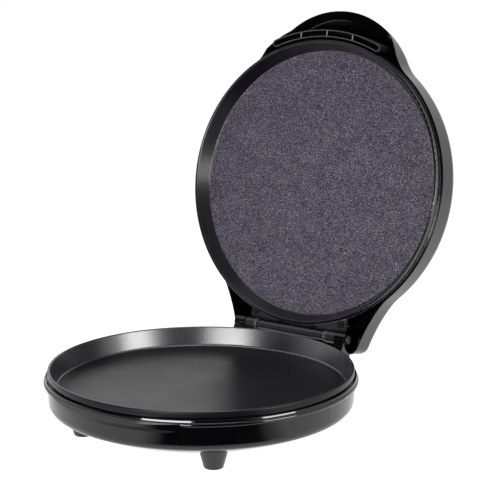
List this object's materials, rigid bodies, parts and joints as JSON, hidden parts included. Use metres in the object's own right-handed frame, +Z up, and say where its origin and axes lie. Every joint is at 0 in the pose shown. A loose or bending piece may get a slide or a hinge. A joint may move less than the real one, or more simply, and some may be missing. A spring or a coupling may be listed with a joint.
{
  "type": "electric pizza maker",
  "caption": "Electric pizza maker with a round baking pan in a glossy black base and a hinged lid that carries a speckled upper plate and a hooded handle.",
  "frame": {"origin": "the middle of the part's outline with the lid open, on the bench under the feet", "axes": "+Z up, -Y towards the handle and the user, +Y towards the hinge, +X to the user's right; stored with the lid open on its stop"},
  "size_m": [0.3182, 0.4318, 0.4105],
  "materials": {
    "glossy_shell": "glossy moulding",
    "lower_coating": "cast, dark satin non-stick coating",
    "upper_coating": "cast, speckled non-stick coating",
    "foot_plastic": "satin",
    "screw_steel": "zinc plated",
    "pad_rubber": "matt",
    "grommet_rubber": "matt",
    "heater_tube": "oxidised tube",
    "strap_steel": "bright sheet",
    "shield_aluminium": "bright sheet",
    "thermostat_body": "phenolic",
    "terminal_plastic": "natural",
    "rod_steel": "plated",
    "frame_aluminium": "plain sheet",
    "guard_plastic": "satin",
    "hinge_plastic": "satin enamel",
    "hinge_steel": "satin enamel",
    "red_lens": "clear tinted",
    "green_lens": "clear tinted",
    "lamp_glass": "clear"
  },
  "bodies": {
    "base": {"base_housing": "glossy_shell", "lower_pan": "lower_coating", "foot_front_left": "foot_plastic", "foot_front_right": "foot_plastic", "foot_rear_left": "foot_plastic", "foot_rear_right": "foot_plastic", "foot_screws": "screw_steel", "foot_pads": "pad_rubber", "lower_heating_element": "heater_tube", "lower_element_clips": "strap_steel", "lower_reflector": "shield_aluminium", "lower_pan_screws": "screw_steel", "lower_thermostat": "thermostat_body", "thermal_fuse": "thermostat_body", "terminal_block": "terminal_plastic", "cord_inlet": "grommet_rubber", "hinge_rod": "rod_steel", "hinge_cap_left": "foot_plastic", "hinge_cap_right": "foot_plastic"},
    "lid": {"lid_housing": "glossy_shell", "upper_pan": "upper_coating", "lid_frame": "frame_aluminium", "handle_guard": "guard_plastic", "hinge_barrel_left": "hinge_plastic", "hinge_barrel_right": "hinge_plastic", "lid_hinge_plate": "hinge_steel", "lid_hinge_screws": "screw_steel", "upper_heating_element": "heater_tube", "upper_element_clips": "strap_steel", "upper_reflector": "shield_aluminium", "upper_pan_screws": "screw_steel", "upper_thermostat": "thermostat_body", "power_lens": "red_lens", "ready_lens": "green_lens", "indicator_lamps": "lamp_glass", "lamp_bracket": "strap_steel"}
  },
  "joints": [
    {"name": "lid_hinge", "type": "hinge", "parent": "base", "child": "lid", "pos_m": [0, 0.11168, 0.0674], "axis": [1, 0, 0], "range_deg": [0, 101.7]}
  ]
}
